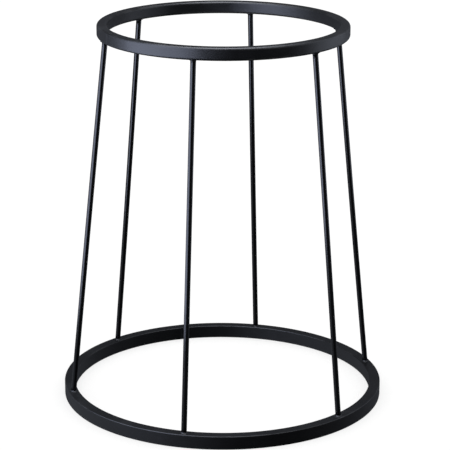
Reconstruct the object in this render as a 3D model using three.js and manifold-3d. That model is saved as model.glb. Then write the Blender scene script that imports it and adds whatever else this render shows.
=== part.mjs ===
// Open tapered rack of black welded steel: a small ring of rounded flat bar at the top, a larger ring of
// flat bar on the floor and six straight rods that lean inwards from the lower ring to the upper one.
// Millimetres, +Z up, origin on the floor at the centre of the lower ring.
import * as THREE from 'three';
import { mergeVertices } from 'three/addons/utils/BufferGeometryUtils.js';
import Module from 'manifold-3d';

const wasm = await Module();
wasm.setup();

// ---- Driving dimensions (mm, degrees) ----
const OVERALL_HEIGHT = 354;
const LOWER_RING_DIAMETER = 300;
const LOWER_BAR_WIDTH = 10;
const LOWER_BAR_HEIGHT = 12.4;
const LOWER_BAR_EDGE = 0.7;
const UPPER_RING_DIAMETER = 230;
const UPPER_BAR_WIDTH = 9.5;
const UPPER_BAR_HEIGHT = 11.7;
const UPPER_BAR_EDGE = 2.5;
const ROD_COUNT = 6;
const ROD_DIAMETER = 5;
const FIRST_ROD_ANGLE = 15;
const WELD_LEG = 1.1;
const WELD_TIP_WALL = 0.35;
const SEAM_WIDTH = 3;
const LOWER_SEAM_ANGLE = 105;
const UPPER_SEAM_ANGLE = 206;
const CLEARANCE = 0.3;

// ---- Mesh resolution ----
const RING_STEPS = 72;
const LOWER_EDGE_STEPS = 1;
const UPPER_EDGE_STEPS = 3;
const ROD_STEPS = 16;
const WELD_STEPS = 16;
const WELD_ARC_STEPS = 3;

// ---- The two bars: their centre lines, sections and seams ----
const LOWER_BAR = {
  radius: (LOWER_RING_DIAMETER - LOWER_BAR_WIDTH) / 2,
  z: LOWER_BAR_HEIGHT / 2,
  width: LOWER_BAR_WIDTH,
  height: LOWER_BAR_HEIGHT,
  edge: LOWER_BAR_EDGE,
  edgeSteps: LOWER_EDGE_STEPS,
  seamAngle: LOWER_SEAM_ANGLE,
};
const UPPER_BAR = {
  radius: (UPPER_RING_DIAMETER - UPPER_BAR_WIDTH) / 2,
  z: OVERALL_HEIGHT - UPPER_BAR_HEIGHT / 2,
  width: UPPER_BAR_WIDTH,
  height: UPPER_BAR_HEIGHT,
  edge: UPPER_BAR_EDGE,
  edgeSteps: UPPER_EDGE_STEPS,
  seamAngle: UPPER_SEAM_ANGLE,
};

// ---- The rod's axis, from the middle of one bar's face to the middle of the other's ----
const FOOT = new THREE.Vector3(LOWER_BAR.radius, 0, LOWER_BAR_HEIGHT);
const HEAD = new THREE.Vector3(UPPER_BAR.radius, 0, OVERALL_HEIGHT - UPPER_BAR_HEIGHT);
const ROD_DIRECTION = HEAD.clone().sub(FOOT).normalize();
const ROD_BORE_RADIUS = ROD_DIAMETER / 2 + CLEARANCE;

const powderCoat = (colour, roughness) =>
  new THREE.MeshStandardMaterial({ color: colour, roughness, metalness: 0.35 });
const ringMaterial = powderCoat(0x1c1f24, 0.5);
const rodMaterial = powderCoat(0x16181b, 0.45);
const weldMaterial = powderCoat(0x24272c, 0.6);

const UPWARDS = new THREE.Vector3(0, 0, 1);
const DOWNWARDS = new THREE.Vector3(0, 0, -1);

// ---- Solids and geometries ----

/** A closed geometry as a solid that can be joined and cut. */
function toSolid(geometry) {
  const bare = geometry.clone();
  bare.deleteAttribute('normal');
  bare.deleteAttribute('uv');
  const merged = mergeVertices(bare, 1e-4);
  return new wasm.Manifold(new wasm.Mesh({
    numProp: 3,
    vertProperties: new Float32Array(merged.attributes.position.array),
    triVerts: new Uint32Array(merged.index.array),
  }));
}

/** A solid as a geometry that a mesh can show. */
function toGeometry(solid) {
  const mesh = solid.getMesh();
  const geometry = new THREE.BufferGeometry();
  geometry.setAttribute('position', new THREE.BufferAttribute(new Float32Array(mesh.vertProperties), 3));
  geometry.setIndex(new THREE.BufferAttribute(new Uint32Array(mesh.triVerts), 1));
  geometry.computeVertexNormals();
  return geometry;
}

/** Turns a closed or on-axis outline of [radius, height] pairs about +Z. */
function revolve(outline, steps) {
  const points = outline.map(([radius, height]) => new THREE.Vector2(radius, height));
  return new THREE.LatheGeometry(points, steps).rotateX(Math.PI / 2);
}

/** Moves a geometry made about +Z so that its z = 0 is at a point and its +Z runs along a direction. */
function placeAlong(geometry, point, direction) {
  const turn = new THREE.Quaternion().setFromUnitVectors(UPWARDS, direction);
  return geometry.applyQuaternion(turn).translate(point.x, point.y, point.z);
}

// ---- The rings ----

/** A bar's whole hoop with rounded edges, grown on every side by a margin. */
function hoop(bar, margin) {
  const round = bar.edge + margin;
  const across = bar.width / 2 - bar.edge;
  const upright = bar.height / 2 - bar.edge;
  const outline = [];
  for (let corner = 0; corner < 4; corner += 1) {
    const middle = (Math.PI / 2) * (corner + 0.5);
    const centreRadius = bar.radius + across * Math.sign(Math.cos(middle));
    const centreZ = bar.z + upright * Math.sign(Math.sin(middle));
    for (let step = 0; step <= bar.edgeSteps; step += 1) {
      const turn = (Math.PI / 2) * (corner + step / bar.edgeSteps);
      outline.push([centreRadius + round * Math.cos(turn), centreZ + round * Math.sin(turn)]);
    }
  }
  outline.push(outline[0]);
  return toSolid(revolve(outline, RING_STEPS));
}

/** A block through a ring's bar at its seam, of the given width along the ring. */
function blockAtSeam(bar, width) {
  const reach = 2 * Math.max(bar.width, bar.height);
  const block = new THREE.BoxGeometry(reach, width, reach).translate(bar.radius, 0, bar.z);
  return toSolid(block.rotateZ(THREE.MathUtils.degToRad(bar.seamAngle)));
}

/** A ring: the bar bent round, with its two ends a seam's width apart. */
function ring(bar) {
  return toGeometry(hoop(bar, 0).subtract(blockAtSeam(bar, SEAM_WIDTH)));
}

/** The butt weld that closes a ring, dressed flush with the bar. */
function ringSeam(bar) {
  return toGeometry(hoop(bar, 0).intersect(blockAtSeam(bar, SEAM_WIDTH - 2 * CLEARANCE)));
}

// ---- One rod and its welds, made in the XZ plane ----

/** A round bar on the rod's axis that runs a diameter into both rings. */
function rodBlank(radius) {
  const length = HEAD.distanceTo(FOOT) + 2 * ROD_DIAMETER;
  const bar = new THREE.CylinderGeometry(radius, radius, length, ROD_STEPS).rotateX(Math.PI / 2);
  return toSolid(placeAlong(bar.translate(0, 0, length / 2 - ROD_DIAMETER), FOOT, ROD_DIRECTION));
}

/** A rod, cut to stand on the lower ring and to meet the underside of the upper one. */
function rod() {
  const cut = rodBlank(ROD_DIAMETER / 2).subtract(hoop(LOWER_BAR, CLEARANCE));
  return toGeometry(cut.subtract(hoop(UPPER_BAR, CLEARANCE)));
}

/** A weld bead round the end of a rod: a hollow flare that hugs the bar and thins away from it. */
function weld(bar, end, away) {
  const tip = ROD_BORE_RADIUS + WELD_TIP_WALL;
  const leg = Math.min(WELD_LEG, bar.width / 2 - tip);
  const baseDepth = bar.edge + WELD_LEG;
  const outline = [[0, -baseDepth], [tip + leg, -baseDepth]];
  for (let step = 0; step <= WELD_ARC_STEPS; step += 1) {
    const turn = (Math.PI / 2) * (step / WELD_ARC_STEPS);
    outline.push([tip + leg * (1 - Math.sin(turn)), leg * (1 - Math.cos(turn))]);
  }
  outline.push([0, leg]);
  const base = end.clone().addScaledVector(away, CLEARANCE);
  const bead = toSolid(placeAlong(revolve(outline, WELD_STEPS), base, away));
  return toGeometry(bead.subtract(hoop(bar, CLEARANCE)).subtract(rodBlank(ROD_BORE_RADIUS)));
}

// ---- The assembly ----

function addMesh(parent, name, geometry, material) {
  const mesh = new THREE.Mesh(geometry, material.clone());
  mesh.name = name;
  parent.add(mesh);
}

const rack = new THREE.Group();
addMesh(rack, 'lower_ring', ring(LOWER_BAR), ringMaterial);
addMesh(rack, 'upper_ring', ring(UPPER_BAR), ringMaterial);
addMesh(rack, 'lower_ring_seam', ringSeam(LOWER_BAR), weldMaterial);
addMesh(rack, 'upper_ring_seam', ringSeam(UPPER_BAR), weldMaterial);

const rodGeometry = rod();
const footWeldGeometry = weld(LOWER_BAR, FOOT, UPWARDS);
const headWeldGeometry = weld(UPPER_BAR, HEAD, DOWNWARDS);
for (let index = 0; index < ROD_COUNT; index += 1) {
  const spoke = new THREE.Group();
  spoke.rotation.z = THREE.MathUtils.degToRad(FIRST_ROD_ANGLE + (index * 360) / ROD_COUNT);
  const number = index + 1;
  addMesh(spoke, `rod_${number}`, rodGeometry, rodMaterial);
  addMesh(spoke, `foot_weld_${number}`, footWeldGeometry, weldMaterial);
  addMesh(spoke, `head_weld_${number}`, headWeldGeometry, weldMaterial);
  rack.add(spoke);
}

export default rack;
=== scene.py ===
"""Looks of an open tapered rack of black powder-coated steel.

A ring of flat bar stands on the floor, a smaller ring of rounded bar lies on top, and six straight rods
lean inwards between them. Every joint is a small weld bead, and each ring is closed by a dressed butt
weld. All lengths are in metres.
"""

import logging
import math
import random
from dataclasses import dataclass, field
from enum import Enum
from typing import ClassVar, Union

import bmesh
import bpy
from mathutils import Matrix, Quaternion, Vector, noise


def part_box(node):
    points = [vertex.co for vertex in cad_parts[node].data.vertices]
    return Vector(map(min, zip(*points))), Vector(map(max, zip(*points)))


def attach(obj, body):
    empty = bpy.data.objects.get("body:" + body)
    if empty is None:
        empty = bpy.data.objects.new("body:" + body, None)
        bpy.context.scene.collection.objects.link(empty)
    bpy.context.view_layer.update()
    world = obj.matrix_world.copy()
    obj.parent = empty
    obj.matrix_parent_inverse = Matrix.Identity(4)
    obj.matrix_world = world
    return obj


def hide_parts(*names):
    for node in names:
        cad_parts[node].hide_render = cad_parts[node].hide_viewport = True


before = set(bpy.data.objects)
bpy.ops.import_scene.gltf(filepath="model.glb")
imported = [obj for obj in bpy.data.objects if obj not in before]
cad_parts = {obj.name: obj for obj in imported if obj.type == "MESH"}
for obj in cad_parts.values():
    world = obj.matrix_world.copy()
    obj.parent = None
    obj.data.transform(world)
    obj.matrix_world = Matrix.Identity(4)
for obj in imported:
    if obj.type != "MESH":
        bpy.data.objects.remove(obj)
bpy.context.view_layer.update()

LOG = logging.getLogger("rack")
MM = 0.001
Z_AXIS = Vector((0.0, 0.0, 1.0))
WHITE = (1.0, 1.0, 1.0)
FULL_TURN = 2 * math.pi
QUARTER_TURN = math.pi / 2
Colour = tuple[float, float, float]
Place = tuple[float, float, float]
Range = tuple[float, float]


# ---------------------------------------------------------------------------------------------------
# Shader expressions
# ---------------------------------------------------------------------------------------------------

Operand = Union["Shade", float]


class Shade:
    """A number in a shader, which takes part in Python expressions. Each operation adds its node."""

    def __init__(self, kit: "NodeKit", socket: bpy.types.NodeSocket) -> None:
        """Wraps a socket.

        Args:
            kit: the node kit that the socket belongs to.
            socket: the output socket that carries the number.
        """
        self.kit = kit
        self.socket = socket

    def math(self, operation: str, *others: Operand) -> "Shade":
        """Adds a Math node with this number first.

        Args:
            operation: the Math node's operation.
            others: the numbers that follow.

        Returns:
            The node's result.
        """
        return self.kit.math(operation, self, *others)

    def __add__(self, other: Operand) -> "Shade":
        """This number plus another."""
        return self.math("ADD", other)

    def __radd__(self, other: Operand) -> "Shade":
        """Another number plus this one."""
        return self.math("ADD", other)

    def __sub__(self, other: Operand) -> "Shade":
        """This number less another."""
        return self.math("SUBTRACT", other)

    def __rsub__(self, other: Operand) -> "Shade":
        """Another number less this one."""
        return self.kit.math("SUBTRACT", other, self)

    def __mul__(self, other: Operand) -> "Shade":
        """This number times another."""
        return self.math("MULTIPLY", other)

    def __rmul__(self, other: Operand) -> "Shade":
        """Another number times this one."""
        return self.math("MULTIPLY", other)

    def __truediv__(self, other: Operand) -> "Shade":
        """This number over another."""
        return self.math("DIVIDE", other)

    def __rtruediv__(self, other: Operand) -> "Shade":
        """Another number over this one."""
        return self.kit.math("DIVIDE", other, self)

    def __pow__(self, other: Operand) -> "Shade":
        """This number to a power."""
        return self.math("POWER", other)

    def __neg__(self) -> "Shade":
        """This number with its sign turned."""
        return self.math("MULTIPLY", -1.0)

    def __abs__(self) -> "Shade":
        """This number without its sign."""
        return self.math("ABSOLUTE")

    def sqrt(self) -> "Shade":
        """The square root of this number."""
        return self.math("SQRT")

    def between(self, low: float, high: float) -> "Shade":
        """A smooth step that is 0 up to low and 1 from high on.

        Args:
            low: where the step starts.
            high: where the step ends.

        Returns:
            The step, from 0 to 1.
        """
        ramp = self.kit.node(
            "ShaderNodeMapRange",
            {"interpolation_type": "SMOOTHSTEP"},
            {"Value": self, "From Min": low, "From Max": high},
        )
        return Shade(self.kit, ramp.outputs["Result"])


class NodeKit:
    """Adds nodes to one node tree."""

    def __init__(self, tree: bpy.types.NodeTree) -> None:
        """Starts on an emptied tree.

        Args:
            tree: the tree of a material or of the world.
        """
        self.tree = tree
        tree.nodes.clear()

    def node(
        self,
        kind: str,
        settings: dict[str, object] | None = None,
        sockets: dict[str | int, object] | None = None,
    ) -> bpy.types.Node:
        """Adds one node.

        Args:
            kind: the node's type.
            settings: its properties, set before its sockets.
            sockets: values, sockets or Shades for its inputs, by name or number.

        Returns:
            The node.
        """
        made = self.tree.nodes.new(kind)
        for key, value in (settings or {}).items():
            setattr(made, key, value)
        for key, value in (sockets or {}).items():
            if isinstance(value, Shade):
                value = value.socket
            if isinstance(value, bpy.types.NodeSocket):
                self.tree.links.new(value, made.inputs[key])
            else:
                made.inputs[key].default_value = value
        return made

    def math(self, operation: str, *operands: Operand) -> Shade:
        """Adds a Math node.

        Args:
            operation: the Math node's operation.
            operands: its numbers, in order.

        Returns:
            The node's result.
        """
        made = self.node("ShaderNodeMath", {"operation": operation}, dict(enumerate(operands)))
        return Shade(self, made.outputs[0])

    def mix(self, share: Operand, first: object, second: object) -> bpy.types.NodeSocket:
        """Mixes two colours.

        Args:
            share: how much of the second colour there is.
            first: the first colour, as four numbers or a socket.
            second: the second colour.

        Returns:
            The mixed colour's socket.
        """
        made = self.node("ShaderNodeMix", {"data_type": "RGBA"}, {0: share, 6: first, 7: second})
        return made.outputs[2]

    def noise(self, place: bpy.types.NodeSocket, size: float, detail: float = 2.0) -> Shade:
        """Adds a soft noise from 0 to 1.

        Args:
            place: the coordinates that it is read at.
            size: the size of its blotches, in metres.
            detail: how many finer layers it has.

        Returns:
            The noise.
        """
        made = self.node(
            "ShaderNodeTexNoise",
            None,
            {"Vector": place, "Scale": 1.0 / size, "Detail": detail, "Roughness": 0.5},
        )
        return Shade(self, made.outputs["Fac"])


def opaque(colour: Colour, share: float = 1.0) -> tuple[float, float, float, float]:
    """A share of a colour, with full alpha."""
    return (*(share * part for part in colour), 1.0)


def directions(kit: NodeKit, vector: bpy.types.NodeSocket) -> tuple[Shade, Shade, Shade]:
    """Splits a vector into its X, Y and Z.

    Args:
        kit: the node kit of the vector's tree.
        vector: the socket that carries it.

    Returns:
        Its three numbers.
    """
    split = kit.node("ShaderNodeSeparateXYZ", None, {0: vector})
    return tuple(Shade(kit, output) for output in split.outputs)


# ---------------------------------------------------------------------------------------------------
# Finishes
# ---------------------------------------------------------------------------------------------------


@dataclass(frozen=True)
class BarEdges:
    """Where the long edges of a ring's bar are, which the coat shows lighter: partly worn coat, partly
    a painted highlight.

    Attributes:
        radius: the radius of the bar's centre line.
        height: the height of the bar's centre line.
        half_width: half the bar's width, across the ring.
        half_height: half the bar's height.
        edge: how far its edges are rounded.
        spread: how far the lighter edge mark runs past the rounding, as a share of it.
    """

    radius: float
    height: float
    half_width: float
    half_height: float
    edge: float
    spread: float = 1.1

    def mask(self, kit: NodeKit, place: bpy.types.NodeSocket) -> Shade:
        """Marks the bar's four long edges.

        Args:
            kit: the material's node kit.
            place: the object coordinates.

        Returns:
            A mask that is 1 along the edges and 0 on the flats.
        """
        x, y, z = directions(kit, place)
        across = abs((x * x + y * y).sqrt() - self.radius)
        upright = abs(z - self.height)
        reach = self.spread * self.edge
        from_side = across.between(self.half_width - reach, self.half_width)
        from_face = upright.between(self.half_height - reach, self.half_height)
        return from_side * from_face


@dataclass(frozen=True)
class PowderCoat:
    """A baked powder coat on steel, with its orange peel, unevenness, dust, and long edges painted
    lighter as partly worn coat and partly a painted highlight.

    Attributes:
        name: the material's name.
        slot: a name for the coat's material slot; it is not used.
        colour: the coat's colour.
        roughness: how rough the coat is.
        gloss: the strength of its reflections.
        peel_size: the size of the orange peel's dimples.
        peel_depth: the depth of the dimples.
        wave_size: the length of the uneven waves in the metal under the coat.
        wave_depth: the depth of these waves.
        rub_and_glint_strength: how strongly the long edges are painted lighter, partly as worn coat and
            partly as a painted highlight.
        patch_size: the size of the coat's duller and shinier patches.
        patch_share: how much the patches count against the specks in its shade.
        patch_dulling: how much rougher the dullest patch is than the shiniest.
        speck_size: the size of its fine specks.
        speck_dulling: how much rougher the dullest speck is than the shiniest.
        shade_range: the noise that gives its darkest and its lightest shade.
        darkest: the darkest shade, as a share of its colour.
        lightest: the lightest shade, as a share of its colour.
        dusty_range: the patches that hold no dust and all of it.
        dust_facing: how far up a face has to look to hold no dust and all of it.
        dust_floor: the least share of dust between the specks.
        dust_cover: how much of the coat the dust hides.
        dust_dulling: how much rougher the dust makes it.
        dust_colour: the colour of the dust.
        rub_and_glint_range: the patches that hold none of the lighter edge mark and all of it.
        rubbed_polish: how much smoother the coat is under the lighter edge mark.
        rub_and_glint_colour: the lighter colour of the long edges, partly worn coat and partly a
            painted highlight.
    """

    name: str
    slot: str
    colour: Colour
    roughness: float
    gloss: float
    peel_size: float = 0.9 * MM
    peel_depth: float = 0.055 * MM
    wave_size: float = 14.0 * MM
    wave_depth: float = 0.20 * MM
    # Lighter long edges: partly worn coat, partly a painted highlight along the arrises.
    rub_and_glint_strength: float = 0.6

    patch_size: ClassVar[float] = 32.0 * MM
    patch_share: ClassVar[float] = 0.7
    patch_dulling: ClassVar[float] = 0.20
    speck_size: ClassVar[float] = 0.45 * MM
    speck_dulling: ClassVar[float] = 0.14
    shade_range: ClassVar[Range] = (0.30, 0.72)
    darkest: ClassVar[float] = 0.72
    lightest: ClassVar[float] = 1.35
    dusty_range: ClassVar[Range] = (0.42, 0.70)
    dust_facing: ClassVar[Range] = (0.35, 0.95)
    dust_floor: ClassVar[float] = 0.35
    dust_cover: ClassVar[float] = 0.22
    dust_dulling: ClassVar[float] = 0.10
    dust_colour: ClassVar[Colour] = (0.012, 0.0125, 0.013)
    rub_and_glint_range: ClassVar[Range] = (0.40, 0.62)
    rubbed_polish: ClassVar[float] = 0.06
    # The lighter edge colour: partly worn coat, partly a painted highlight.
    rub_and_glint_colour: ClassVar[Colour] = (0.045, 0.047, 0.051)

    def build(self, edges: BarEdges | None = None) -> bpy.types.Material:
        """Makes the material.

        Args:
            edges: where the piece's long edges are, or None for a piece without any.

        Returns:
            The material.
        """
        material = bpy.data.materials.new(self.name)
        material.use_nodes = True
        kit = NodeKit(material.node_tree)
        place = kit.node("ShaderNodeTexCoord").outputs["Object"]
        patches = kit.noise(place, self.patch_size, detail=3.0)
        specks = kit.noise(place, self.speck_size, detail=1.0)
        dust = self._dust(kit, patches, specks)

        mottle = patches * self.patch_share + specks * (1.0 - self.patch_share)
        shade = mottle.between(*self.shade_range)
        colour = kit.mix(shade, opaque(self.colour, self.darkest), opaque(self.colour, self.lightest))
        colour = kit.mix(dust * self.dust_cover, colour, opaque(self.dust_colour))
        dulling = (patches - 0.5) * self.patch_dulling + (specks - 0.5) * self.speck_dulling
        roughness = self.roughness + dulling + dust * self.dust_dulling
        # Paint the long edges lighter: partly worn coat, partly a painted highlight along the arrises.
        if edges is not None:
            rub_and_glint = edges.mask(kit, place) * patches.between(*self.rub_and_glint_range) * self.rub_and_glint_strength
            colour = kit.mix(rub_and_glint, colour, opaque(self.rub_and_glint_colour))
            roughness = roughness - rub_and_glint * self.rubbed_polish

        coat = kit.node(
            "ShaderNodeBsdfPrincipled",
            None,
            {
                "Base Color": colour,
                "Metallic": 0.0,
                "Roughness": roughness,
                "Specular IOR Level": self.gloss,
                "Normal": self._relief(kit, place),
            },
        )
        kit.node("ShaderNodeOutputMaterial", None, {"Surface": coat.outputs[0]})
        return material

    def _dust(self, kit: NodeKit, patches: Shade, specks: Shade) -> Shade:
        """Marks where dust has settled.

        Args:
            kit: the material's node kit.
            patches: the coat's patches.
            specks: its specks.

        Returns:
            A mask that is 0 on upright sides and up to 1 on level tops.
        """
        normal = kit.node("ShaderNodeNewGeometry").outputs["Normal"]
        upward = directions(kit, normal)[2].between(*self.dust_facing)
        grains = self.dust_floor + (1.0 - self.dust_floor) * specks
        return upward * patches.between(*self.dusty_range) * grains

    def _relief(self, kit: NodeKit, place: bpy.types.NodeSocket) -> bpy.types.NodeSocket:
        """Makes the waves in the metal and the orange peel over them.

        Args:
            kit: the material's node kit.
            place: the object coordinates.

        Returns:
            The normal's socket.
        """
        waves = kit.noise(place, self.wave_size, detail=1.0)
        wavy = kit.node("ShaderNodeBump", None, {"Distance": self.wave_depth, "Height": waves})
        peel = kit.noise(place, self.peel_size, detail=1.5)
        dimpled = kit.node(
            "ShaderNodeBump",
            None,
            {"Distance": self.peel_depth, "Height": peel, "Normal": wavy.outputs["Normal"]},
        )
        return dimpled.outputs["Normal"]


RING_COAT = PowderCoat(
    name="ring_powder_coat",
    slot="ring_coat",
    colour=(0.0008, 0.0008, 0.0010),
    roughness=0.42,
    gloss=0.50,
)
ROD_COAT = PowderCoat(
    name="rod_powder_coat",
    slot="rod_coat",
    colour=(0.0006, 0.0006, 0.0007),
    roughness=0.19,
    gloss=0.50,
    peel_depth=0.018 * MM,
    wave_size=24.0 * MM,
    wave_depth=0.06 * MM,
    rub_and_glint_strength=0.0,
)
WELD_COAT = PowderCoat(
    name="weld_powder_coat",
    slot="weld_coat",
    colour=(0.0010, 0.0010, 0.0012),
    roughness=0.40,
    gloss=0.50,
    wave_size=2.6 * MM,
    wave_depth=0.12 * MM,
    rub_and_glint_strength=0.0,
)


# ---------------------------------------------------------------------------------------------------
# Mesh help
# ---------------------------------------------------------------------------------------------------


WELD_DISTANCE = 0.002 * MM


class Shading(Enum):
    """How a finished piece's faces are shaded."""

    ROUND = "round"
    FLAT_SIDED = "flat_sided"


def finish_piece(
    mesh: bmesh.types.BMesh,
    name: str,
    replaced: str,
    material: bpy.types.Material,
    shading: Shading,
) -> bpy.types.Object:
    """Turns a bmesh into a piece that stands for a CAD node.

    Args:
        mesh: the piece's shape, which is freed.
        name: the piece's name.
        replaced: the CAD node that it stands for.
        material: the finish's material for this piece.
        shading: how its faces are shaded.

    Returns:
        The piece.
    """
    bmesh.ops.remove_doubles(mesh, verts=mesh.verts, dist=WELD_DISTANCE)
    bmesh.ops.recalc_face_normals(mesh, faces=mesh.faces)
    open_edges = sum(1 for edge in mesh.edges if not edge.is_manifold)
    data = bpy.data.meshes.new(name)
    mesh.to_mesh(data)
    mesh.free()
    data.shade_smooth()
    piece = bpy.data.objects.new(name, data)
    bpy.context.scene.collection.objects.link(piece)
    data.materials.append(material)
    if shading is Shading.FLAT_SIDED:
        piece.modifiers.new("even_flats", "WEIGHTED_NORMAL").keep_sharp = True
    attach(piece, "root")
    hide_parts(replaced)
    LOG.info("%s: %d faces, %d open edges", name, len(data.polygons), open_edges)
    return piece


def drawn_on(mesh: bmesh.types.BMesh, face: bmesh.types.BMFace, first: bool) -> bmesh.types.BMFace:
    """Extrudes a face in place, without leaving a wall inside the piece.

    Args:
        mesh: the bmesh that holds the face.
        face: the face, which closes the piece's end if it is the first.
        first: whether this is the piece's first extrusion.

    Returns:
        The new end face.
    """
    extruded = bmesh.ops.extrude_face_region(mesh, geom=[face])
    if not first:
        bmesh.ops.delete(mesh, geom=[face], context="FACES_ONLY")
    return next(item for item in extruded["geom"] if isinstance(item, bmesh.types.BMFace))


def node_points(node: str) -> list[Vector]:
    """The corners of a CAD node's mesh."""
    return [vertex.co.copy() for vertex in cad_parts[node].data.vertices]


def node_middle(node: str) -> Vector:
    """The middle of a CAD node's box."""
    low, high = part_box(node)
    return (low + high) / 2


def turn_of(point: Vector) -> float:
    """The angle of a point about the rack's axis, from +X."""
    return math.atan2(point.y, point.x)


def level_direction(point: Vector) -> Vector:
    """The level direction from the Z axis towards a point."""
    return Vector((point.x, point.y, 0.0)).normalized()


def turned_out(turn: float) -> Vector:
    """The level direction at an angle about the rack's axis."""
    return Vector((math.cos(turn), math.sin(turn), 0.0))


# ---------------------------------------------------------------------------------------------------
# The rings
# ---------------------------------------------------------------------------------------------------


@dataclass
class BarRing:
    """A ring of bar bent round and closed by a butt weld, measured from the frame.

    Attributes:
        node: the ring's CAD node.
        seam_node: the CAD node of its butt weld.
        edge: how far the bar's long edges are rounded.
        edge_segments: the segments of each rounded edge.
        coat: the ring's finish.
        sway: how far the bar's sides wander from true, where it was bent.
        sways: how many times they wander in and out, about.
        steps: the segments round the ring.
        seam_proud: how far the dressed weld is left above the bar's faces.
        seam_lap: how far it runs over each end of the bar.
        seam_steps: the segments along it.
        seam_ripple: the depth of its ripples.
        seam_ripples: how close its ripples are, per metre.
    """

    node: str
    seam_node: str
    edge: float
    edge_segments: int
    coat: PowderCoat = RING_COAT
    sway: float = 0.10 * MM
    sways: float = 7.0
    steps: int = 360
    seam_proud: float = 0.05 * MM
    seam_lap: float = 1.1 * MM
    seam_steps: int = 10
    seam_ripple: float = 0.03 * MM
    seam_ripples: float = 900.0
    inner: float = field(init=False)
    outer: float = field(init=False)
    bottom: float = field(init=False)
    top: float = field(init=False)
    seam_turn: float = field(init=False)
    seam_width: float = field(init=False)

    def __post_init__(self) -> None:
        """Measures the ring and its seam in the frame."""
        reaches = [math.hypot(point.x, point.y) for point in node_points(self.node)]
        self.inner = min(reaches)
        self.outer = max(reaches)
        self.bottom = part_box(self.node)[0].z
        self.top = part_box(self.node)[1].z
        self.seam_turn = turn_of(node_middle(self.seam_node))
        along = Vector((-math.sin(self.seam_turn), math.cos(self.seam_turn), 0.0))
        offsets = [point.dot(along) for point in node_points(self.seam_node)]
        self.seam_width = max(offsets) - min(offsets)

    @property
    def middle_radius(self) -> float:
        """The radius of the bar's centre line."""
        return (self.inner + self.outer) / 2

    @property
    def edges(self) -> BarEdges:
        """Where the bar's long edges are."""
        return BarEdges(
            radius=self.middle_radius,
            height=(self.bottom + self.top) / 2,
            half_width=(self.outer - self.inner) / 2,
            half_height=(self.top - self.bottom) / 2,
            edge=self.edge,
        )

    def _section(self, proud: float) -> bmesh.types.BMesh:
        """Makes the bar's section as one face in the XZ plane.

        Args:
            proud: how far the section stands out past the bar's inner, outer and top faces.

        Returns:
            A bmesh that holds the face.
        """
        mesh = bmesh.new()
        width = self.outer - self.inner + 2 * proud
        height = self.top - self.bottom + proud
        bmesh.ops.create_grid(mesh, x_segments=1, y_segments=1, size=0.5)
        section = (
            Matrix.Translation((self.middle_radius, 0.0, self.bottom + height / 2))
            @ Matrix.Rotation(QUARTER_TURN, 4, "X")
            @ Matrix.Diagonal((width, height, 1.0, 1.0))
        )
        bmesh.ops.transform(mesh, matrix=section, verts=mesh.verts)
        bmesh.ops.bevel(
            mesh,
            geom=mesh.verts[:],
            affect="VERTICES",
            offset=self.edge,
            offset_type="OFFSET",
            segments=self.edge_segments,
            profile=0.5,
            material=-1,
        )
        return mesh

    def _bent(self, mesh: bmesh.types.BMesh, start: float, sweep: float, steps: int) -> None:
        """Bends a section round the rack's axis.

        Args:
            mesh: the bmesh that holds the section.
            start: the angle that the bar starts at.
            sweep: the angle that it runs through.
            steps: its segments.
        """
        bmesh.ops.rotate(mesh, verts=mesh.verts, cent=(0, 0, 0), matrix=Matrix.Rotation(start, 3, "Z"))
        bmesh.ops.spin(
            mesh,
            geom=mesh.verts[:] + mesh.edges[:] + mesh.faces[:],
            cent=(0, 0, 0),
            axis=Z_AXIS,
            angle=sweep,
            steps=steps,
            use_merge=False,
            use_duplicate=False,
        )

    def build_ring(self) -> bpy.types.Object:
        """Builds the bar bent round, with its ends a seam's width apart.

        Returns:
            The ring.
        """
        gap = self.seam_width / self.middle_radius
        mesh = self._section(0.0)
        self._bent(mesh, self.seam_turn + gap / 2, FULL_TURN - gap, self.steps)
        own_noise = Z_AXIS * (self.top * 31.0)
        for vertex in mesh.verts:
            outward = level_direction(vertex.co)
            sway = noise.noise(outward * self.sways + own_noise)
            inset = self.sway * (0.5 + 0.5 * sway)
            towards = -1.0 if outward.dot(vertex.co) > self.middle_radius else 1.0
            vertex.co += outward * (inset * towards)
        coat = self.coat.build(self.edges)
        return finish_piece(mesh, self.node + "_bar", self.node, coat, Shading.FLAT_SIDED)

    def build_seam(self) -> bpy.types.Object:
        """Builds the dressed butt weld, a low band over the bar's two ends.

        Returns:
            The seam.
        """
        sweep = (self.seam_width + 2 * self.seam_lap) / self.middle_radius
        mesh = self._section(self.seam_proud)
        self._bent(mesh, self.seam_turn - sweep / 2, sweep, self.seam_steps)
        for vertex in mesh.verts:
            ripple = noise.noise(vertex.co * self.seam_ripples)
            vertex.co += level_direction(vertex.co) * (self.seam_ripple * ripple)
        name = self.seam_node + "_bead"
        return finish_piece(
            mesh, name, self.seam_node, WELD_COAT.build(), Shading.FLAT_SIDED
        )


# ---------------------------------------------------------------------------------------------------
# Rods and their welds
# ---------------------------------------------------------------------------------------------------


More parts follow.
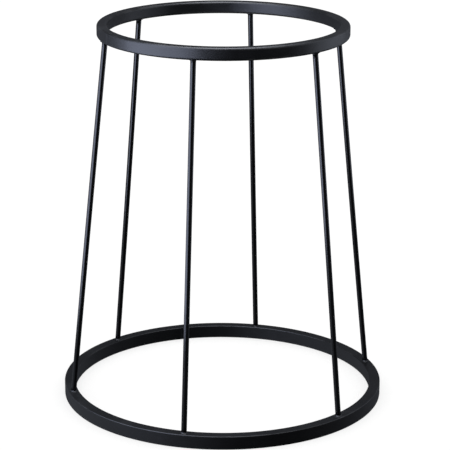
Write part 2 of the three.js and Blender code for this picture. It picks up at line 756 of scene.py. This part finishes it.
@dataclass
class Rod:
    """One straight rod with the weld bead at each end.

    Attributes:
        number: the rod's number.
        lower: the ring that it stands on.
        upper: the ring that it holds.
        sides: the segments round the rod.
        lengths: the segments along it.
        bow: how far the rod bows from straight.
        swell: how much thinner than its full size the drawn wire gets, as a share.
        swells: how often its thickness wanders along it, about.
        sunk: how far its ends run into the welds' metal.
        longest_leg: how far a weld bead climbs the rod at most.
    """

    number: int
    lower: BarRing
    upper: BarRing
    sides: int = 32
    lengths: int = 48
    bow: float = 0.25 * MM
    swell: float = 0.012
    swells: float = 14.0
    sunk: float = 0.5 * MM
    longest_leg: float = 1.5 * MM
    foot: Vector = field(init=False)
    head: Vector = field(init=False)
    radius: float = field(init=False)

    def __post_init__(self) -> None:
        """Finds the rod's axis and radius from the frame."""
        outward = turned_out(turn_of(node_middle(self.node)))
        self.foot = outward * self.lower.middle_radius + Z_AXIS * self.lower.top
        self.head = outward * self.upper.middle_radius + Z_AXIS * self.upper.bottom
        along = self.along
        offsets = [point - self.foot for point in node_points(self.node)]
        self.radius = max((offset - along * offset.dot(along)).length for offset in offsets)

    @property
    def node(self) -> str:
        """The rod's CAD node."""
        return f"rod_{self.number}"

    @property
    def along(self) -> Vector:
        """The rod's direction, from its foot to its head."""
        return (self.head - self.foot).normalized()

    def build_rod(self, material: bpy.types.Material) -> bpy.types.Object:
        """Builds the rod: a round of wire drawn out along its axis.

        Args:
            material: the rods' material.

        Returns:
            The rod.
        """
        draw = random.Random(40 + self.number)
        mesh = bmesh.new()
        bmesh.ops.create_circle(mesh, cap_ends=True, segments=self.sides, radius=self.radius)
        length = (self.head - self.foot).length + 2 * self.sunk
        face = mesh.faces[:][0]
        for step in range(self.lengths):
            face = drawn_on(mesh, face, first=step == 0)
            bmesh.ops.translate(mesh, verts=face.verts[:], vec=(0, 0, length / self.lengths))
        sideways = turned_out(draw.uniform(0.0, FULL_TURN))
        own_noise = self.number * 9.0
        for vertex in mesh.verts:
            share = vertex.co.z / length
            wander = noise.noise(Vector((0.0, own_noise, share * self.swells)))
            swell = 1.0 - self.swell * (0.5 + 0.5 * wander)
            vertex.co.x *= swell
            vertex.co.y *= swell
            vertex.co += sideways * (self.bow * math.sin(math.pi * share))
        stand = Z_AXIS.rotation_difference(self.along).to_matrix().to_4x4()
        place = Matrix.Translation(self.foot - self.along * self.sunk) @ stand
        bmesh.ops.transform(mesh, matrix=place, verts=mesh.verts)
        return finish_piece(mesh, self.node + "_wire", self.node, material, Shading.ROUND)

    def build_foot_weld(self, material: bpy.types.Material) -> bpy.types.Object:
        """Builds the weld bead that rises from the lower ring round the rod's foot."""
        bead = self._bead(f"foot_weld_{self.number}", seed=101 + 10 * self.number)
        return bead.build(self.foot, self.along, 1.0, material)

    def build_head_weld(self, material: bpy.types.Material) -> bpy.types.Object:
        """Builds the weld bead that hangs from the upper ring round the rod's head."""
        bead = self._bead(f"head_weld_{self.number}", seed=102 + 10 * self.number)
        return bead.build(self.head, -self.along, -1.0, material)

    def _bead(self, node: str, seed: int) -> "WeldBead":
        """Measures one of the rod's weld beads in the frame.

        Args:
            node: the bead's CAD node.
            seed: the seed of its ripples.

        Returns:
            The bead.
        """
        low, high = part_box(node)
        return WeldBead(
            node=node,
            rod_radius=self.radius,
            reach=max(high.x - low.x, high.y - low.y) / 2,
            leg=min(high.z - low.z, self.longest_leg),
            seed=seed,
        )


@dataclass
class WeldBead:
    """A small fillet of weld metal round the end of a rod.

    Attributes:
        node: the bead's CAD node.
        rod_radius: the radius of the rod.
        reach: how far the bead reaches from the rod's axis.
        leg: how far it climbs the rod.
        seed: the seed of its ripples.
        sides: the segments round the bead.
        rings: the segments of its hollow flare.
        ripples: the ripples that the weld pool left round it.
        root: how far it runs into the ring.
        toe: its thickness where it ends on the rod, as a share of the rod's radius.
        tuck: how deep its end is tucked into the rod, as a share of the rod's radius.
        lip: the height of its rounded end.
        ripple_reach: how much the ripples take off its reach, as a share of its leg.
        ripple_climb: how much they take off its height, as a share of it.
        lump_reach: how much its lumps take off its reach, as a share of its leg.
        lumps: how close the lumps are round it.
    """

    node: str
    rod_radius: float
    reach: float
    leg: float
    seed: int
    sides: int = 72
    rings: int = 8
    ripples: int = 11
    root: float = 0.8 * MM
    toe: float = 0.02
    tuck: float = 0.10
    lip: float = 0.06 * MM
    ripple_reach: float = 0.10
    ripple_climb: float = 0.12
    lump_reach: float = 0.16
    lumps: float = 1.6

    @property
    def tip(self) -> float:
        """The bead's radius where it ends on the rod."""
        return self.rod_radius * (1.0 + self.toe)

    @property
    def flare(self) -> float:
        """How far the bead spreads past its end."""
        return self.reach - self.tip

    def build(
        self, end: Vector, along: Vector, away: float, material: bpy.types.Material
    ) -> bpy.types.Object:
        """Builds the bead in place.

        Args:
            end: the point where the rod's axis meets the ring.
            along: the rod's direction away from the ring.
            away: 1 for a bead that rises, -1 for one that hangs.
            material: its material.

        Returns:
            The bead.
        """
        mesh = self._flared()
        self._ripple(mesh)
        self._settle(mesh, end, along, away)
        return finish_piece(mesh, self.node + "_bead", self.node, material, Shading.ROUND)

    def _flared(self) -> bmesh.types.BMesh:
        """Makes the plain bead about +Z, standing on its root.

        Returns:
            A bmesh that holds it.
        """
        mesh = bmesh.new()
        bmesh.ops.create_circle(mesh, cap_ends=True, segments=self.sides, radius=self.reach)
        bmesh.ops.translate(mesh, verts=mesh.verts, vec=(0, 0, -self.root))
        turns = [QUARTER_TURN * step / self.rings for step in range(self.rings + 1)]
        levels = [
            (self.tip + self.flare * (1 - math.sin(turn)), self.leg * (1 - math.cos(turn)))
            for turn in turns
        ]
        levels.append((self.rod_radius * (1.0 - self.tuck), self.leg + self.lip))
        face = mesh.faces[:][0]
        for index, (radius, height) in enumerate(levels):
            face = drawn_on(mesh, face, first=index == 0)
            corner = face.verts[0].co.copy()
            share = radius / math.hypot(corner.x, corner.y)
            bmesh.ops.scale(mesh, verts=face.verts[:], vec=(share, share, 1.0))
            bmesh.ops.translate(mesh, verts=face.verts[:], vec=(0, 0, height - corner.z))
        return mesh

    def _ripple(self, mesh: bmesh.types.BMesh) -> None:
        """Draws the bead's rim and crest in, with ripples and lumps.

        Args:
            mesh: the bead, made about +Z.
        """
        start = random.Random(self.seed).uniform(0.0, FULL_TURN)
        own_noise = Z_AXIS * (self.seed * 1.7)
        for vertex in mesh.verts:
            outward = level_direction(vertex.co)
            spread = (outward.dot(vertex.co) - self.tip) / self.flare
            if spread <= 0.0:
                continue
            ripple = math.sin(self.ripples * turn_of(vertex.co) + start) * 0.5 + 0.5
            lump = abs(noise.noise(outward * self.lumps + own_noise))
            inset = self.leg * (self.ripple_reach * ripple + self.lump_reach * lump)
            vertex.co -= outward * (spread * inset)
            if vertex.co.z > 0.0:
                vertex.co.z *= 1.0 - self.ripple_climb * ripple

    @staticmethod
    def _settle(mesh: bmesh.types.BMesh, end: Vector, along: Vector, away: float) -> None:
        """Stands the bead on its ring and leans its upper part with the rod.

        Args:
            mesh: the bead, made about +Z.
            end: the point where the rod's axis meets the ring.
            along: the rod's direction away from the ring.
            away: 1 for a bead that rises, -1 for one that hangs.
        """
        for vertex in mesh.verts:
            climb = max(vertex.co.z, 0.0)
            lean = Vector((along.x, along.y, 0.0)) * climb
            vertex.co = Vector((vertex.co.x, vertex.co.y, away * vertex.co.z)) + lean
        bmesh.ops.translate(mesh, verts=mesh.verts, vec=end)


# ---------------------------------------------------------------------------------------------------
# The rack and the studio
# ---------------------------------------------------------------------------------------------------


class Rack:
    """The whole rack: two rings and the rods welded between them."""

    rod_count = 6

    def __init__(self) -> None:
        """Measures the rings and the rods."""
        self.lower = BarRing("lower_ring", "lower_ring_seam", edge=0.7 * MM, edge_segments=4)
        self.upper = BarRing("upper_ring", "upper_ring_seam", edge=2.5 * MM, edge_segments=7)
        self.rods = [Rod(index + 1, self.lower, self.upper) for index in range(self.rod_count)]

    def build(self) -> None:
        """Builds every piece."""
        for ring in (self.lower, self.upper):
            ring.build_ring()
            ring.build_seam()
        rod_material = ROD_COAT.build()
        weld_material = WELD_COAT.build()
        for rod in self.rods:
            rod.build_rod(rod_material)
            rod.build_foot_weld(weld_material)
            rod.build_head_weld(weld_material)


@dataclass(frozen=True)
class Camera:
    """The camera, by where it looks and from where.

    Attributes:
        aim: the point that it looks at.
        azimuth: its angle round the rack, in degrees; 0 looks along +Y.
        elevation: its angle above the horizon, in degrees.
        distance: how far it is from the point.
        lens: its focal length, in millimetres.
        sensor: its sensor's width, in millimetres.
        roll: how far it is turned about its own line of sight, in degrees.
    """

    aim: Place = (0.0020, 0.0, 0.1625)
    azimuth: float = -1.54
    elevation: float = 16.775
    distance: float = 1.826
    lens: float = 156.5
    sensor: float = 36.0
    roll: float = 0.2

    def build(self) -> bpy.types.Object:
        """Makes the camera and sets it as the scene's.

        Returns:
            The camera.
        """
        turn = math.radians(self.azimuth)
        rise = math.radians(self.elevation)
        back = Vector(
            (math.sin(turn) * math.cos(rise), -math.cos(turn) * math.cos(rise), math.sin(rise))
        )
        data = bpy.data.cameras.new("camera")
        data.sensor_width = self.sensor
        data.lens = self.lens
        camera = bpy.data.objects.new("camera", data)
        bpy.context.scene.collection.objects.link(camera)
        camera.location = Vector(self.aim) + back * self.distance
        facing = (-back).to_track_quat("-Z", "Y") @ Quaternion(Z_AXIS, math.radians(self.roll))
        camera.rotation_euler = facing.to_euler()
        bpy.context.scene.camera = camera
        return camera


@dataclass(frozen=True)
class SoftBox:
    """A rectangle of soft light, which shows only as a reflection in the coat.

    Attributes:
        name: the light's name.
        place: its middle.
        aim: the point that it faces.
        size: its width and height.
        radiance: how bright its face is.
        colour: the light's colour.
    """

    name: str
    place: Place
    aim: Place
    size: tuple[float, float]
    radiance: float
    colour: Colour

    def build(self) -> bpy.types.Object:
        """Makes the light.

        Returns:
            The light.
        """
        data = bpy.data.lights.new(self.name, "AREA")
        data.shape = "RECTANGLE"
        data.size, data.size_y = self.size
        data.energy = self.radiance * math.pi * self.size[0] * self.size[1]
        data.color = self.colour
        light = bpy.data.objects.new(self.name, data)
        bpy.context.scene.collection.objects.link(light)
        light.location = self.place
        facing = Vector(self.aim) - Vector(self.place)
        light.rotation_euler = facing.to_track_quat("-Z", "Y").to_euler()
        light.visible_camera = False
        light.visible_diffuse = False
        return light


@dataclass(frozen=True)
class Floor:
    """The pale floor, which gives no reflection in the coat.

    Attributes:
        radius: how far it reaches.
        drop: how far it lies below the rack, so that the two don't meet.
        sides: the segments of its rim.
        cloud_size: the size of its faint clouds.
        darker: the colour between the clouds.
        lighter: the colour of the clouds.
        roughness: how rough it is.
        glow: the light of its own, which keeps the rack's shadow faint.
    """

    radius: float = 14.0
    drop: float = 0.2 * MM
    sides: int = 96
    cloud_size: float = 0.4
    darker: Colour = (0.32, 0.32, 0.32)
    lighter: Colour = (0.34, 0.34, 0.34)
    roughness: float = 0.9
    glow: float = 0.7

    def build(self) -> bpy.types.Object:
        """Makes the floor.

        Returns:
            The floor.
        """
        mesh = bmesh.new()
        bmesh.ops.create_circle(mesh, cap_ends=True, segments=self.sides, radius=self.radius)
        bmesh.ops.translate(mesh, verts=mesh.verts, vec=(0, 0, -self.drop))
        data = bpy.data.meshes.new("floor")
        mesh.to_mesh(data)
        mesh.free()
        data.materials.append(self._matt())
        floor = bpy.data.objects.new("floor", data)
        bpy.context.scene.collection.objects.link(floor)
        floor.visible_glossy = False
        return floor

    def _matt(self) -> bpy.types.Material:
        """Makes the floor's material.

        Returns:
            The material.
        """
        material = bpy.data.materials.new("pale_floor")
        material.use_nodes = True
        kit = NodeKit(material.node_tree)
        place = kit.node("ShaderNodeTexCoord").outputs["Object"]
        clouds = kit.noise(place, self.cloud_size)
        matt = kit.node(
            "ShaderNodeBsdfPrincipled",
            None,
            {
                "Base Color": kit.mix(clouds, opaque(self.darker), opaque(self.lighter)),
                "Roughness": self.roughness,
                "Specular IOR Level": 0.0,
                "Emission Color": opaque(WHITE),
                "Emission Strength": self.glow,
            },
        )
        kit.node("ShaderNodeOutputMaterial", None, {"Surface": matt.outputs[0]})
        return material


@dataclass(frozen=True)
class Surroundings:
    """White surroundings, which the coat reflects as a dim studio with walls.

    Attributes:
        white: how bright they are to the eye and on the floor.
        tint: the colour of the dim studio.
        low_glow: the light from the studio's floor.
        high_glow: how much brighter it is above the floor.
        high_range: the heights of direction between the floor and the air over it.
        left_facing: the level direction of the left wall.
        left_wall: the light of the left wall's foot.
        left_dimming: how much dimmer the wall is above its foot.
        left_spread: how fast the wall's light falls off round the studio.
        right_facing: the level direction of the right wall.
        right_wall: the light of the right wall.
        back_wall: the light of the band on the back wall.
        back_height: the height of direction of that band.
        back_range: how far from its middle the band starts and ends to fade.
    """

    white: float = 1.08
    tint: Colour = (0.92, 0.985, 1.14)
    low_glow: float = 0.015
    high_glow: float = 0.035
    high_range: Range = (-0.36, -0.14)
    left_facing: tuple[float, float] = (-0.996, -0.087)
    left_wall: float = 0.46
    left_dimming: float = 0.18
    left_spread: float = 1.3
    right_facing: tuple[float, float] = (0.819, 0.574)
    right_wall: float = 0.16
    back_wall: float = 0.04
    back_height: float = 0.14
    back_range: Range = (0.02, 0.22)

    def build(self) -> bpy.types.World:
        """Makes the world and sets it as the scene's.

        Returns:
            The world.
        """
        world = bpy.data.worlds.new("studio")
        bpy.context.scene.world = world
        world.cycles.sampling_method = "NONE"
        world.use_nodes = True
        kit = NodeKit(world.node_tree)
        white = kit.node(
            "ShaderNodeBackground", None, {"Color": opaque(WHITE), "Strength": self.white}
        )
        dim = kit.node(
            "ShaderNodeBackground", None, {"Color": opaque(self.tint), "Strength": self._walls(kit)}
        )
        reflected = kit.node("ShaderNodeLightPath").outputs["Is Glossy Ray"]
        both = kit.node(
            "ShaderNodeMixShader", None, {0: reflected, 1: white.outputs[0], 2: dim.outputs[0]}
        )
        kit.node("ShaderNodeOutputWorld", None, {"Surface": both.outputs[0]})
        return world

    def _walls(self, kit: NodeKit) -> Shade:
        """Makes the light that comes from each direction of the dim studio.

        Args:
            kit: the world's node kit.

        Returns:
            The light.
        """
        x, y, z = directions(kit, kit.node("ShaderNodeTexCoord").outputs["Generated"])
        left = (x * self.left_facing[0] + y * self.left_facing[1]).math("MAXIMUM", 0.0)
        right = (x * self.right_facing[0] + y * self.right_facing[1]).math("MAXIMUM", 0.0)
        behind = y.math("MAXIMUM", 0.0)
        high = z.between(*self.high_range)
        left_light = left ** self.left_spread * (self.left_wall - high * self.left_dimming)
        right_light = right * right * self.right_wall
        band = 1.0 - abs(z - self.back_height).between(*self.back_range)
        back_light = behind * behind * band * self.back_wall
        return self.low_glow + high * self.high_glow + left_light + right_light + back_light


class Studio:
    """The pale floor, the soft boxes and the white surroundings."""

    boxes = (
        SoftBox(
            name="left_softbox",
            place=(-0.34, -0.36, 0.51),
            aim=(0.0, -0.36, 0.51),
            size=(0.66, 0.94),
            radiance=3.4,
            colour=(0.86, 0.95, 1.25),
        ),
        SoftBox(
            name="right_softbox",
            place=(0.45, 0.06, 0.50),
            aim=(0.0, 0.06, 0.50),
            size=(0.42, 0.80),
            radiance=0.75,
            colour=(0.90, 0.97, 1.15),
        ),
        SoftBox(
            name="top_softbox",
            place=(0.0, -0.10, 1.30),
            aim=(0.0, 0.0, 0.2),
            size=(0.80, 0.80),
            radiance=8.0,
            colour=(0.94, 0.98, 1.08),
        ),
    )

    def build(self) -> None:
        """Makes the floor, the lights and the surroundings."""
        Floor().build()
        for box in self.boxes:
            box.build()
        Surroundings().build()
        bpy.context.scene.view_settings.view_transform = "Standard"


def main() -> None:
    """Builds the camera, the rack and the studio."""
    logging.basicConfig(level=logging.INFO, format="%(name)s %(message)s")
    Camera().build()
    Rack().build()
    Studio().build()


if __name__ == "__main__":
    main()
